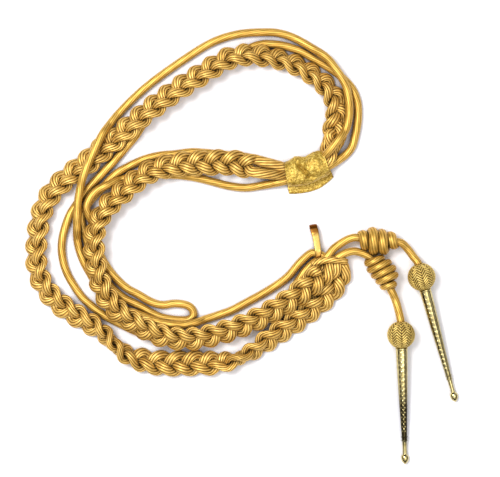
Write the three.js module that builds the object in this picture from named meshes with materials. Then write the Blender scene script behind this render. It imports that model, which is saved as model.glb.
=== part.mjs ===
import * as THREE from 'three';

// An aiguillette lying flat. Lengths are in millimetres, +Z is up and the cords lie on z = 0.

// Cord sizes
const cordDiameter = 6;
const cordSides = 8;
const cordStep = 14;
const armLoopStep = 9;
const tagCordStep = 6;
const strandDiameter = 3.4;
const strandSides = 6;
const seat = 0.3;

// Plait sizes: how far a strand swings to each side, and above and below the middle
const plaitSwing = 5.8;
const plaitRise = 3.4;
const rearTurns = 16;
const frontTurns = 10;
const samplesPerTurn = 6;

// Tab sizes
const tabLength = 31.8;
const tabWidth = 20.4;
const tabWall = 1.5;
const tabCorner = 4;
const tabStart = { x: 33, y: 54.1 };
const tabHeading = -0.038;
const tabTurn = 0.68;
const backingThickness = 1.5;
const backingPeek = 4.5;
const backingTuck = 4;

// Knot sizes
const knotDiameter = 19.6;
const knotTurns = 4.5;
const knotEndShare = 0.74;
const knotGrooveShare = 0.12;
const knotBore = cordDiameter + 1;
const upperKnotStart = { x: 87.5, y: 6, z: 10.2 };
const upperKnotEnd = { x: 115.4, y: 3.1, z: 10.2 };
const lowerKnotStart = { x: 97.1, y: -10.4, z: 10 };
const lowerKnotEnd = { x: 110.1, y: -31.2, z: 10 };

// Ball and tag sizes
const ballDiameter = 21;
const upperBall = { x: 134, y: -23.2, heading: -1.3 };
const lowerBall = { x: 118.7, y: -66.5, heading: -1.535 };
const tagLength = 88;
const tagTopDiameter = 9.2;
const acornDiameter = 5.9;

// Hook sizes
const hookLength = 25.6;
const hookWidth = 5;
const hookThickness = 1.2;
const hookGap = 4.6;
const hookReturn = 16;
const hookFoot = { x: 57, y: -9 };
const hookHeading = 1.74;

// Heights of the underside of a cord or plait above the ground
const plaitThickness = 2 * plaitRise + strandDiameter;
const ground = 0;
const onCord = cordDiameter + seat;
const onPlait = plaitThickness + 2 * seat;
const onPlaitEdge = plaitThickness / 2 + strandDiameter / 2 + seat;
const tabFloor = backingThickness + seat + tabWall + seat;
const onTabStrand = tabFloor + strandDiameter + seat;
const onTabCord = tabFloor + cordDiameter + seat;
const tabTop = onTabCord + strandDiameter + seat + tabWall;

// Colours of gilt wire, gold lace and brass
const cordMaterial = new THREE.MeshStandardMaterial({ color: 0xd9a93a, roughness: 0.45, metalness: 0.6 });
const plaitMaterial = new THREE.MeshStandardMaterial({ color: 0xc99a34, roughness: 0.5, metalness: 0.6 });
const laceMaterial = new THREE.MeshStandardMaterial({ color: 0xc9b23c, roughness: 0.7, metalness: 0.3 });
const ballMaterial = new THREE.MeshStandardMaterial({ color: 0xb59b45, roughness: 0.6, metalness: 0.5 });
const brassMaterial = new THREE.MeshStandardMaterial({ color: 0xd8bd6a, roughness: 0.2, metalness: 1 });

// A place in the tab: share of its length, and distance to the left of its middle line
function inTab(share, across) {
  const radius = tabLength / tabTurn;
  const heading = tabHeading + tabTurn * share;
  const x = tabStart.x + radius * (Math.sin(heading) - Math.sin(tabHeading)) - across * Math.sin(heading);
  const y = tabStart.y - radius * (Math.cos(heading) - Math.cos(tabHeading)) + across * Math.cos(heading);
  return [x, y];
}

// A line through chosen places on the ground, whose height eases from each one's lift to the next one's
class Route extends THREE.Curve {
  constructor(rows, thickness) {
    super();
    const places = rows.map(([x, y]) => new THREE.Vector3(x, y, 0));
    this.plan = new THREE.CatmullRomCurve3(places, false, 'centripetal');
    this.heights = rows.map(([, , lift]) => lift + thickness / 2);
    this.rolls = rows.map(([, , , roll = 0]) => THREE.MathUtils.degToRad(roll));
    this.arcLengthDivisions = rows.length * 20;
  }

  getPoint(share, target = new THREE.Vector3()) {
    this.plan.getPoint(share, target);
    target.z = eased(this.heights, share);
    return target;
  }

  getRollAt(distanceShare) {
    return eased(this.rolls, this.getUtoTmapping(distanceShare));
  }
}

// The value at a share of the way along a list, easing from each value to the next one
function eased(values, share) {
  const place = share * (values.length - 1);
  const row = Math.min(Math.floor(place), values.length - 2);
  const ease = THREE.MathUtils.smoothstep(place - row, 0, 1);
  return THREE.MathUtils.lerp(values[row], values[row + 1], ease);
}

// A smooth line that a tube follows with one ring at each of its points
class PointByPoint extends THREE.CatmullRomCurve3 {
  getPointAt(share, target) {
    return this.getPoint(share, target);
  }

  getTangentAt(share, target) {
    return this.getTangent(share, target);
  }
}

function roundSection(diameter, sides) {
  const corners = Array.from({ length: sides }, (_, i) => {
    const angle = (2 * Math.PI * i) / sides;
    return new THREE.Vector2(Math.cos(angle), Math.sin(angle)).multiplyScalar(diameter / 2);
  });
  return new THREE.Shape(corners);
}

function tube(path, steps, diameter, sides) {
  return new THREE.ExtrudeGeometry(roundSection(diameter, sides), { extrudePath: path, steps });
}

function cord(name, rows, step) {
  const path = new Route(rows, cordDiameter);
  const steps = Math.round(path.getLength() / step);
  return piece(name, tube(path, steps, cordDiameter, cordSides), cordMaterial);
}

function piece(name, geometry, material) {
  const mesh = new THREE.Mesh(geometry, material);
  mesh.name = name;
  return mesh;
}

// One strand of a three-strand plait, with the places it runs through before and after the plait
function strand(name, rows, turns, number, before, after) {
  const middle = new Route(rows, plaitThickness);
  const samples = turns * samplesPerTurn;
  const up = new THREE.Vector3(0, 0, 1);
  const points = before.map((place) => new THREE.Vector3(...place));
  for (let i = 0; i <= samples; i++) {
    const phase = 2 * Math.PI * (1 / 12 - i / samplesPerTurn + number / 3);
    const roll = middle.getRollAt(i / samples);
    const left = up.clone().cross(middle.getTangentAt(i / samples).setZ(0)).normalize();
    const across = plaitSwing * Math.sin(phase);
    const above = (plaitRise * Math.sin(2 * phase)) / Math.sin(Math.PI / 3);
    const point = middle.getPointAt(i / samples);
    point.addScaledVector(left, across * Math.cos(roll) - above * Math.sin(roll));
    const { share, raise } = settled(roll);
    const lift = share * (across * Math.sin(roll) + above * Math.cos(roll)) + raise;
    points.push(point.addScaledVector(up, lift));
  }
  points.push(...after.map((place) => new THREE.Vector3(...place)));
  const path = new PointByPoint(points, false, 'centripetal');
  return piece(name, tube(path, points.length - 1, strandDiameter, strandSides), plaitMaterial);
}

// How a rolled plait settles: the share of its height that is left where strands cross, and how far its
// middle is raised so that its underside stays where it was
function settled(roll) {
  const edge = plaitSwing * Math.abs(Math.sin(roll));
  const crossing = edge / 2 + plaitRise * Math.abs(Math.cos(roll));
  const share = Math.min(1, plaitRise / crossing);
  return { share, raise: Math.max(0, share * edge - plaitRise) };
}

function plait(side, rows, turns, starts, ends) {
  return starts.map((before, number) =>
    strand(`${side}_plait_strand_${number + 1}`, rows, turns, number, before, ends[number]),
  );
}

// Route tables, chosen by hand. Columns: x, y, lift of the underside, and for the plaits the roll in
// degrees that brings the left edge up
const rearPlaitRows = [
  [68, 82.5, ground, 0],
  [71, 93, ground, 15],
  [71, 104, ground, 30],
  [67, 115, ground, 40],
  [57.5, 124.5, ground, 45],
  [45.5, 133, ground, 45],
  [31, 139, ground, 45],
  [14.5, 142.5, 3.5, 40],
  [-2.5, 142.5, onCord, 35],
  [-15.5, 138, onCord, 35],
  [-27.5, 130.5, onCord, 35],
  [-50.5, 116, onCord, 35],
  [-72, 100, onCord, 35],
  [-82.5, 91, onCord, 35],
  [-92, 83, 4, 30],
  [-103, 74.5, ground, 25],
  [-115, 64, ground, 25],
  [-128, 54, ground, 30],
  [-139, 44.5, ground, 35],
  [-147, 34, ground, 35],
  [-152, 20.5, ground, 35],
  [-154, 7.5, ground, 35],
  [-155, -6, ground, 35],
  [-153.5, -20, ground, 35],
  [-147.5, -32.5, ground, 35],
  [-136.5, -44, ground, 35],
  [-125, -52, ground, 35],
  [-115, -58, ground, 40],
  [-105, -65, ground, 54],
  [-96, -74, ground, 72],
  [-86, -82, ground, 94],
  [-74, -86, ground, 120],
  [-59, -88, ground, 140],
  [-41, -88, ground, 140],
  [-18.5, -87.5, ground, 115],
  [-6.5, -85.5, ground, 85],
  [3, -81.5, ground, 60],
  [22, -68.5, ground, 40],
  [42, -55, ground, 35],
  [51.5, -47.5, ground, 35],
  [60, -40, ground, 30],
  [67, -31.5, ground, 15],
  [72, -21.5, ground, 0],
];

const frontPlaitRows = [
  [7, 59, onCord, 0],
  [-2.5, 61.5, onCord, 0],
  [-15.5, 62.5, onCord, 0],
  [-33.5, 62, onCord, 10],
  [-51.5, 60.5, onCord, 20],
  [-62, 58, onCord, 30],
  [-74, 53, onCord, 35],
  [-83, 46, onCord, 35],
  [-91, 39, onCord, 35],
  [-100.5, 30, onCord, 35],
  [-107.5, 19.5, onCord, 35],
  [-111, 7.5, onCord, 35],
  [-111, -3.5, onCord, 35],
  [-110, -13, onCord, 35],
  [-108, -23, onCord, 35],
  [-104, -34, onCord, 35],
  [-98, -44, onCord, 35],
  [-89, -52, 8, 35],
  [-79, -58, 8.5, 35],
  [-69, -63.5, 8.5, 35],
  [-59, -67.5, 8.5, 35],
  [-47, -69.5, 8, 35],
  [-34, -69, 7, 35],
  [-21.5, -66.5, onCord, 35],
  [-8.5, -62.5, onCord, 35],
  [3, -58, onCord, 35],
  [14.5, -53, onCord, 35],
  [25, -47, onCord, 30],
  [35.5, -40.5, onCord, 25],
  [44, -34, onCord, 15],
  [53, -26.5, onCord, 5],
  [59, -20.5, onCord, 0],
];

const firstRearCordRows = [
  [...inTab(0.56, 4.1), onTabStrand],
  [...inTab(0.8, 4.1), onTabStrand],
  [...inTab(1, 4.1), onTabStrand],
  [64.4, 70.6, 9.9],
  [67, 73.5, onPlait],
  [72, 79.5, onPlait],
  [77, 86.5, onPlaitEdge],
  [79.5, 95, onPlaitEdge],
  [80, 104, onPlaitEdge],
  [78, 118, onCord],
  [74.5, 125.5, onCord],
  [69.5, 133, onCord],
  [63, 141, onCord],
  [50.5, 149.5, 2],
  [38, 156.5, ground],
  [26.5, 160, ground],
  [14.5, 160.5, ground],
  [-3.5, 159, ground],
  [-21.5, 153.5, ground],
  [-45.5, 139, ground],
  [-74, 118, ground],
  [-92, 100.5, ground],
  [-99, 92, 3],
  [-104.5, 84, 9.5],
  [-109, 75, onPlait],
  [-115, 62, onPlait],
  [-119, 52, onPlait],
  [-121.5, 43, 9.5],
  [-123, 33.5, 9.5],
  [-123.8, 23, 9],
  [-124, 14, 6.5],
  [-124, 4.5, 1],
  [-122.5, -3, ground],
  [-120.5, -9, ground],
  [-117.5, -15.5, ground],
  [-110.5, -27, ground],
  [-102.5, -36.8, ground],
  [-94.5, -44, ground],
  [-86, -48.5, ground],
  [-78.5, -51, 3],
  [-70, -54.5, 4.5],
  [-61, -57.5, 5.5],
  [-52.5, -59, onCord],
  [-44, -59, onCord],
  [-35.5, -57.5, 5.5],
  [-28, -55, 1],
  [-18.5, -52, ground],
  [-8.5, -48.5, ground],
  [1, -43.5, ground],
  [20, -33, ground],
  [33.5, -23.5, ground],
  [42.3, -13.3, ground],
  [47, -8.7, ground],
  [52, -5.2, ground],
  [60.5, -6, ground],
];

const secondRearCordRows = [
  [...inTab(0.56, -4.1), tabFloor],
  [...inTab(0.8, -4.1), tabFloor],
  [...inTab(1, -4.1), tabFloor],
  [71.5, 64, 1],
  [77.5, 68.5, ground],
  [82, 74, ground],
  [84.5, 82, ground],
  [86.3, 91.5, ground],
  [86.8, 102, ground],
  [86, 109, ground],
  [83, 117, ground],
  [77.5, 124, ground],
  [69, 131, ground],
  [60.5, 136.5, ground],
  [54.5, 140, ground],
  [43.3, 146.3, ground],
  [32.5, 150, ground],
  [23.5, 151.5, ground],
  [14.5, 151.5, ground],
  [5, 148.5, ground],
  [-15, 137, ground],
  [-45, 117, ground],
  [-71, 96.5, ground],
  [-80, 83, ground],
  [-88, 73.5, ground],
  [-95.2, 65.2, ground],
  [-103, 57, ground],
  [-110.3, 49.3, ground],
  [-117, 42, ground],
  [-122, 35.5, ground],
  [-126, 29.5, ground],
  [-129, 25, ground],
  [-132.5, 16.5, ground],
  [-135.5, 4.5, ground],
  [-135.5, -7, ground],
  [-132.5, -19, ground],
  [-126.5, -30, ground],
  [-120, -39, ground],
  [-114, -44.5, ground],
  [-108.5, -49, ground],
  [-102.5, -53, ground],
  [-95, -57, ground],
  [-84, -62.5, ground],
  [-70, -68, ground],
  [-56, -71, ground],
  [-40, -71.5, ground],
  [-21.5, -68, ground],
  [-5, -62, ground],
  [14.5, -53.5, ground],
  [26, -46, ground],
  [35.5, -36, ground],
  [41.5, -26.5, ground],
  [47, -18.8, ground],
  [53.5, -12.5, ground],
];

const armLoopRows = [
  [...inTab(0.44, 5.3), tabFloor],
  [...inTab(0.2, 5.3), tabFloor],
  [...inTab(0, 5.3), tabFloor],
  [27, 61, tabFloor],
  [20, 63, 1.5],
  [12, 65, ground],
  [2, 67, ground],
  [-13, 68.5, ground],
  [-28, 70, ground],
  [-38.5, 70.5, ground],
  [-50.5, 69, ground],
  [-62, 68, ground],
  [-74, 65, ground],
  [-87, 59, ground],
  [-94, 55, ground],
  [-99.3, 50.3, ground],
  [-104.5, 44.5, ground],
  [-111.5, 37.3, ground],
  [-116, 31.5, ground],
  [-119.5, 26, ground],
  [-121, 18, ground],
  [-117.4, 6, ground],
  [-114.4, -4.5, ground],
  [-110.6, -13.5, ground],
  [-104.6, -23.3, ground],
  [-97.1, -32.3, ground],
  [-89.6, -38.6, ground],
  [-82.9, -42.2, ground],
  [-74.6, -46.5, ground],
  [-69.8, -49.5, ground],
  [-61.1, -53.5, ground],
  [-54, -55, ground],
  [-46.1, -55.7, ground],
  [-40, -55.2, ground],
  [-36.9, -52, ground],
  [-37.8, -47.5, ground],
  [-41, -44.8, ground],
  [-46.1, -43.5, ground],
  [-52.6, -43.3, ground],
  [-59, -44.3, ground],
  [-64.7, -43.5, ground],
  [-71.6, -40.5, ground],
  [-79, -36, ground],
  [-85.9, -32.4, ground],
  [-92.6, -26.8, ground],
  [-99.8, -18.6, ground],
  [-105.2, -10, ground],
  [-108.4, -2, ground],
  [-110.5, 8, ground],
  [-112.5, 16.5, ground],
  [-115.3, 23.5, 4.8],
  [-117, 29, onCord],
  [-113.5, 37, onCord],
  [-108.5, 42, onCord],
  [-102.5, 45, onCord],
  [-97, 47.5, 4],
  [-91, 50, ground],
  [-83, 52, ground],
  [-65, 53.5, ground],
  [-47, 53, ground],
  [-33.5, 51, ground],
  [-21.5, 48, ground],
  [-9.5, 45, ground],
  [2.5, 43.8, ground],
  [12, 45, ground],
  [20, 46.3, 1.5],
  [27, 47.6, tabFloor],
  [...inTab(0, -5.3), tabFloor],
  [...inTab(0.2, -5.3), tabFloor],
  [...inTab(0.44, -5.3), tabFloor],
];

const upperTagCordRows = [
  [65.3, -5.8, 6.5],
  [67.8, -2.4, 6.5],
  [72.8, 1.4, 6.5],
  [79, 5, 6.8],
  [84, 6.3, 7.2],
  [87, 6, 7.2],
  [101.5, 4.5, 7.2],
  [116, 3, 7.2],
  [119, 2.3, 7.2],
  [123.5, -2, 5],
  [127.5, -7.5, 5.5],
  [131, -12.2, 7.4],
];

const lowerTagCordRows = [
  [74.8, -6.5, 6.5],
  [78.5, -4.8, 6.5],
  [83.5, -3.9, 6.5],
  [88, -4.8, 6.5],
  [92.2, -6.5, 6.8],
  [95.2, -8.4, 7],
  [97.1, -10.4, 7],
  [103.6, -20.8, 7],
  [110.1, -31.2, 7],
  [111.9, -34.4, 7],
  [114.4, -40, 5],
  [116.6, -47.5, 5.5],
  [118.3, -55.6, 7.4],
];

const bindingRows = [
  [54, -13.8, 6.5],
  [60.5, -10.8, 6.5],
  [68.5, -10.5, 6.5],
  [79, -13, 5.5],
];

// Places that the strands run through between the tab and the start of each plait. Columns: x, y, height
const strandRadius = strandDiameter / 2;
const rearStrandStarts = [
  [
    [...inTab(0.56, -1.1), onTabCord + strandRadius],
    [...inTab(1, -1.1), onTabCord + strandRadius],
    [67.4, 67, 7.8],
    [66.6, 73.5, 6.4],
  ],
  [
    [...inTab(0.56, 5.1), tabFloor + strandRadius],
    [...inTab(1, 5.1), tabFloor + strandRadius],
    [62, 74, 2.2],
  ],
  [
    [...inTab(0.56, 1.1), tabFloor + strandRadius],
    [...inTab(1, 1.1), tabFloor + strandRadius],
    [69.5, 73, 2.4],
  ],
];

const frontStrandStarts = [
  [
    [...inTab(0.44, -0.6), onTabCord + strandRadius],
    [...inTab(0, -0.6), onTabCord + strandRadius],
    [20, 53.5, 14],
  ],
  [
    [...inTab(0.44, 0), tabFloor + strandRadius],
    [...inTab(0, 0), tabFloor + strandRadius],
    [20, 55, 6],
  ],
  [
    [...inTab(0.44, 4.1), onTabCord + strandRadius],
    [...inTab(0, 4.1), onTabCord + strandRadius],
    [17, 62.5, 11],
  ],
];

const rearStrandEnds = [
  [[71, -14.7, 8.5]],
  [[69, -17, 3]],
  [[76.5, -15.8, 7]],
];

const frontStrandEnds = [
  [[55.2, -17.7, 12.4]],
  [[60, -17, 8.3]],
  [[65, -15.6, 10]],
];

// A gold lace sleeve, bent along the tab's middle line and a little wider in its middle
function shoulderTab() {
  const height = tabTop - backingThickness - seat;
  const section = roundedBox(tabWidth, height, tabCorner);
  section.holes.push(roundedBox(tabWidth - 2 * tabWall, height - 2 * tabWall, tabCorner - tabWall));
  const sleeve = new THREE.ExtrudeGeometry(section, {
    depth: tabLength,
    steps: 6,
    curveSegments: 2,
    bevelEnabled: false,
  });
  const middleHeight = backingThickness + seat + height / 2;
  return piece('shoulder_tab', bendAlongTab(sleeve, middleHeight, tabWidthShares), laceMaterial);
}

// Columns: share of the tab's length, share of its width
const tabWidthShares = [
  [0, 1],
  [0.3, 1.06],
  [0.55, 1.04],
  [0.8, 0.94],
  [1, 0.88],
];

function tabBacking() {
  const width = tabWidth + backingPeek - backingTuck;
  const strip = new THREE.BoxGeometry(width, backingThickness, tabLength, 1, 1, 8);
  strip.translate(-(backingPeek + backingTuck) / 2, 0, tabLength / 2);
  return piece('tab_backing', bendAlongTab(strip, backingThickness / 2, tabWidthShares), laceMaterial);
}

function roundedBox(width, height, corner) {
  const x = width / 2 - corner;
  const y = height / 2 - corner;
  const box = new THREE.Shape();
  box.absarc(x, y, corner, 0, Math.PI / 2);
  box.absarc(-x, y, corner, Math.PI / 2, Math.PI);
  box.absarc(-x, -y, corner, Math.PI, 1.5 * Math.PI);
  box.absarc(x, -y, corner, 1.5 * Math.PI, 2 * Math.PI);
  box.closePath();
  return box;
}

// Moves a straight piece, whose length runs along its z, onto the tab's curved middle line
function bendAlongTab(geometry, height, widthShares) {
  const places = geometry.attributes.position;
  for (let i = 0; i < places.count; i++) {
    const share = places.getZ(i) / tabLength;
    const [x, y] = inTab(share, places.getX(i) * between(widthShares, share));
    places.setXYZ(i, x, y, places.getY(i) + height);
  }
  return geometry;
}

// The second column's value at a place in the first column
function between(rows, place) {
  const next = Math.max(1, rows.findIndex(([start]) => start >= place));
  const [low, lowValue] = rows[next - 1];
  const [high, highValue] = rows[next];
  return THREE.MathUtils.mapLinear(place, low, high, lowValue, highValue);
}

// Turns of cord wound side by side round a tag cord, fattest in the middle
function knot(name, from, to) {
  const pointsPerTurn = 4;
  const length = new THREE.Vector3().subVectors(to, from).length();
  const count = Math.round(knotTurns * pointsPerTurn);
  const profile = [];
  for (let i = 0; i <= count; i++) {
    const share = i / count;
    const bulge = knotEndShare + (1 - knotEndShare) * Math.sin(Math.PI * share);
    const groove = (knotGrooveShare / 2) * (1 + Math.cos((2 * Math.PI * i) / pointsPerTurn));
    profile.push(new THREE.Vector2((knotDiameter / 2) * (bulge - groove), (share - 0.5) * length));
  }
  profile.push(new THREE.Vector2(knotBore / 2, length / 2));
  profile.push(new THREE.Vector2(knotBore / 2, -length / 2));
  profile.push(profile[0].clone());
  const turns = piece(name, new THREE.LatheGeometry(profile, 12), cordMaterial);
  turns.position.lerpVectors(from, to, 0.5);
  turns.quaternion.copy(turnTo(from, to));
  return turns;
}

// The turn that brings +Y onto the way from one place to another
function turnTo(from, to) {
  const way = new THREE.Vector3().subVectors(to, from).normalize();
  return new THREE.Quaternion().setFromUnitVectors(new THREE.Vector3(0, 1, 0), way);
}

// A knitted wire ball with a flat where the tag is seated; its tag lies towards +Y
function ball(name) {
  const radius = ballDiameter / 2;
  const rings = 9;
  const last = Math.acos(tagTopDiameter / ballDiameter);
  const profile = [new THREE.Vector2(0, -radius)];
  for (let i = 1; i <= rings; i++) {
    const angle = THREE.MathUtils.lerp(-Math.PI / 2, last, i / rings);
    profile.push(new THREE.Vector2(radius * Math.cos(angle), radius * Math.sin(angle)));
  }
  profile.push(new THREE.Vector2(0, radius * Math.sin(last)));
  return piece(name, new THREE.LatheGeometry(profile, 14), ballMaterial);
}

// The tag's outline. Columns: share of its length, share of its top diameter
const tagBodyShares = [
  [0, 1],
  [0.03, 0.97],
  [0.2, 0.9],
  [0.45, 0.76],
  [0.72, 0.56],
  [0.76, 0.46],
];
const tagCollarShares = [
  [0.765, 0.56],
  [0.785, 0.56],
  [0.79, 0.34],
  [0.9, 0.3],
];
// The acorn's outline. Columns: share of the tag's length, share of the acorn's diameter
const acornShares = [
  [0.905, 0.9],
  [0.925, 1],
  [0.955, 0.92],
  [0.98, 0.5],
  [1, 0],
];

function tag(name) {
  const profile = [new THREE.Vector2(0, 0)];
  for (const [share, width] of [...tagBodyShares, ...tagCollarShares]) {
    profile.push(new THREE.Vector2((width * tagTopDiameter) / 2, share * tagLength));
  }
  for (const [share, width] of acornShares) {
    profile.push(new THREE.Vector2((width * acornDiameter) / 2, share * tagLength));
  }
  return piece(name, new THREE.LatheGeometry(profile, 10), brassMaterial);
}

// A ball and its tag, lying from the ball's middle towards the tip, both resting on the ground
function ballAndTag(side, { x, y, heading }) {
  const flat = Math.sqrt(ballDiameter ** 2 - tagTopDiameter ** 2) / 2;
  const reach = flat + seat + tagLength;
  const acornPlace = flat + seat + 0.925 * tagLength;
  const slope = Math.asin((ballDiameter - acornDiameter) / 2 / acornPlace);
  const centre = new THREE.Vector3(x, y, ballDiameter / 2);
  const way = new THREE.Vector3(Math.cos(heading), Math.sin(heading), 0).multiplyScalar(Math.cos(slope));
  way.z = -Math.sin(slope);
  const group = new THREE.Group();
  group.position.copy(centre);
  group.quaternion.copy(turnTo(centre, centre.clone().addScaledVector(way, reach)));
  const metal = tag(`${side}_tag`);
  metal.position.y = flat + seat;
  group.add(ball(`${side}_ball`), metal);
  return group;
}

// A bent strip seen from the side: a long upper leg, a round end and a shorter leg back below it
function hook() {
  const inner = hookGap / 2;
  const outer = inner + hookThickness;
  const bend = hookLength - outer;
  const side = new THREE.Shape();
  side.moveTo(0, inner);
  side.lineTo(0, outer);
  side.lineTo(bend, outer);
  side.absarc(bend, 0, outer, Math.PI / 2, -Math.PI / 2, true);
  side.lineTo(bend - hookReturn, -outer);
  side.lineTo(bend - hookReturn, -inner);
  side.lineTo(bend, -inner);
  side.absarc(bend, 0, inner, -Math.PI / 2, Math.PI / 2, false);
  side.closePath();
  const strip = new THREE.ExtrudeGeometry(side, { depth: hookWidth, curveSegments: 8, bevelEnabled: false });
  strip.translate(0, 0, -hookWidth / 2);
  strip.rotateX(Math.PI / 2);
  const bent = piece('hook', strip, brassMaterial);
  bent.position.set(hookFoot.x, hookFoot.y, onCord + seat - inner);
  bent.rotation.z = hookHeading;
  return bent;
}

const aiguillette = new THREE.Group();
aiguillette.add(shoulderTab(), tabBacking());
aiguillette.add(...plait('rear', rearPlaitRows, rearTurns, rearStrandStarts, rearStrandEnds));
aiguillette.add(...plait('front', frontPlaitRows, frontTurns, frontStrandStarts, frontStrandEnds));
aiguillette.add(cord('first_rear_cord', firstRearCordRows, cordStep));
aiguillette.add(cord('second_rear_cord', secondRearCordRows, cordStep));
aiguillette.add(cord('arm_loop_cord', armLoopRows, armLoopStep));
aiguillette.add(cord('upper_tag_cord', upperTagCordRows, tagCordStep));
aiguillette.add(cord('lower_tag_cord', lowerTagCordRows, tagCordStep));
aiguillette.add(cord('front_binding', bindingRows, tagCordStep));
aiguillette.add(knot('upper_knot', upperKnotStart, upperKnotEnd));
aiguillette.add(knot('lower_knot', lowerKnotStart, lowerKnotEnd));
aiguillette.add(ballAndTag('upper', upperBall));
aiguillette.add(ballAndTag('lower', lowerBall));
aiguillette.add(hook());

const bounds = new THREE.Box3().setFromObject(aiguillette, true);
const middle = bounds.getCenter(new THREE.Vector3());
aiguillette.position.set(-middle.x, -middle.y, -bounds.min.z);

export default aiguillette;
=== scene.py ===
# A dress uniform aiguillette in gilt wire cord, laid flat on a pale table and seen from straight above.
# Everything is in metres with +Z up. The route tables are in millimetres on the table top.
import math

import bmesh
import bpy
import numpy as np
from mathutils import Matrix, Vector, noise


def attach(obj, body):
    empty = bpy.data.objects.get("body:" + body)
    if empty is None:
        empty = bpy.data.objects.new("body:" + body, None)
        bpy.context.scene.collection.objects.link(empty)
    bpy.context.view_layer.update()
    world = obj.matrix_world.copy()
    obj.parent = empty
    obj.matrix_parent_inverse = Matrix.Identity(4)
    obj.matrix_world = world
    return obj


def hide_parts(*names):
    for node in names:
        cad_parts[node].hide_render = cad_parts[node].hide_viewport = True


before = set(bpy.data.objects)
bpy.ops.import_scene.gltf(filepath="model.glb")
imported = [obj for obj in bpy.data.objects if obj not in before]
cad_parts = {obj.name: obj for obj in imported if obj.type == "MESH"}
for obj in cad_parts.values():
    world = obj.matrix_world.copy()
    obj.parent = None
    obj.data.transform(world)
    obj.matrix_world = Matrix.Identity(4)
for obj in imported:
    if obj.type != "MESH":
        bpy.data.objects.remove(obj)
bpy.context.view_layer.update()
mm = 0.001
tableShift = np.array([-0.105, 0.151, 0.0])  # from the tables' origin to the frame's, in mm
lowest = 0.02  # mm above the table, the lowest that a mesh may reach
clearance = 0.1  # mm between the table and the underside of a strand or turn
up = np.array([0.0, 0.0, 1.0])
scene = bpy.context.scene


def hexColour(code):
    # sRGB hex to the linear colour that the shaders take
    parts = [int(code[i : i + 2], 16) / 255 for i in (1, 3, 5)]
    linear = [p / 12.92 if p <= 0.04045 else ((p + 0.055) / 1.055) ** 2.4 for p in parts]
    return (*linear, 1.0)


def toFrame(places):
    return (np.asarray(places, float) + tableShift) * mm


# Camera: a long lens straight above, so that heights hardly shift anything sideways

cameraLook = {
    "lens": 200,
    "sensor": 36,
    "viewWidth": 375,  # mm of table across the picture
    "centre": (5.6, 5.6),  # mm, the table place in the middle of the picture
    "focusHeight": 6,  # mm above the table
}


def makeCamera(look):
    data = bpy.data.cameras.new("overheadCamera")
    data.lens = look["lens"]
    data.sensor_width = look["sensor"]
    data.clip_end = 20
    camera = bpy.data.objects.new("overheadCamera", data)
    distance = look["viewWidth"] * look["lens"] / look["sensor"] + look["focusHeight"]
    camera.location = Vector(toFrame([*look["centre"], distance]))
    scene.collection.objects.link(camera)
    scene.camera = camera


makeCamera(cameraLook)
print("stage: camera is in place")

# Routes. Columns: x, y, lift of the underside, all in mm

plaitLook = {
    "width": 7.7,
    "height": 5.0,
    "swing": 6.2,  # how far a strand goes to each side
    "rise": 3.0,  # and above and below the middle
    "thickness": 10.2,
    "rollShare": 1.2,  # how much further the strands lean than the route tables say
    "plies": 9,
    "plyDepth": 0.5,
    "lay": 60,  # mm along the strand for one turn of its plies
    "sidesPerPly": 6,
    "step": 1.25,
    "wobble": 0.05,
    "pointsPerTurn": 12,
    "startPhase": 1 / 12,
}

cordLook = {
    "width": 6.0,
    "height": 6.0,
    "plies": 12,
    "plyDepth": 0.1,
    "lay": 150,
    "sidesPerPly": 4,
    "step": 2.0,
    "wobble": 0.015,
}

ground = 0
onCord = 6.3
onPlait = 10.8
onPlaitEdge = 7.1
tabFloor = 3.6
onTabStrand = 7.3

tabLook = {
    "length": 31.8,
    "width": 20.4,
    "start": (33, 54.1),
    "heading": -0.038,
    "turn": 0.68,
    "widthShares": [(0, 1), (0.3, 1.06), (0.55, 1.04), (0.8, 0.94), (1, 0.88)],
}


def inTab(share, across):
    # a place in the tab: share of its length, and mm to the left of its middle line
    radius = tabLook["length"] / tabLook["turn"]
    first = tabLook["heading"]
    heading = first + tabLook["turn"] * share
    x = tabLook["start"][0] + radius * (math.sin(heading) - math.sin(first)) - across * math.sin(heading)
    y = tabLook["start"][1] - radius * (math.cos(heading) - math.cos(first)) + across * math.cos(heading)
    return [x, y]


# A fourth column for the plaits: how far the left edge is rolled up, in degrees
rearPlaitRows = [
    [68, 82.5, ground, 0], [71, 93, ground, 15], [71, 104, ground, 30], [67, 115, ground, 40],
    [57.5, 124.5, ground, 45], [45.5, 133, ground, 45], [31, 139, ground, 45],
    [14.5, 142.5, 3.5, 40], [-2.5, 142.5, onCord, 35], [-15.5, 138, onCord, 35],
    [-27.5, 130.5, onCord, 35], [-50.5, 116, onCord, 35], [-72, 100, onCord, 35],
    [-82.5, 91, onCord, 35], [-92, 83, 4, 30], [-103, 74.5, ground, 25], [-115, 64, ground, 25],
    [-128, 54, ground, 30], [-139, 44.5, ground, 35], [-147, 34, ground, 38],
    [-152, 20.5, ground, 42], [-154, 7.5, ground, 42], [-155, -6, ground, 42],
    [-153.5, -20, ground, 42], [-147.5, -32.5, ground, 38], [-136.5, -44, ground, 35],
    [-125, -52, ground, 35], [-115, -58, ground, 40], [-105, -65, ground, 54],
    [-96, -74, ground, 72], [-86, -82, ground, 94], [-74, -86, ground, 120],
    [-59, -88, ground, 140], [-41, -88, ground, 140], [-18.5, -87.5, ground, 115],
    [-6.5, -85.5, ground, 85], [3, -81.5, ground, 60], [22, -68.5, ground, 40],
    [42, -55, ground, 35], [51.5, -47.5, ground, 35], [60, -40, ground, 30],
    [67, -31.5, ground, 15], [72, -21.5, ground, 0],
]

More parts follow.
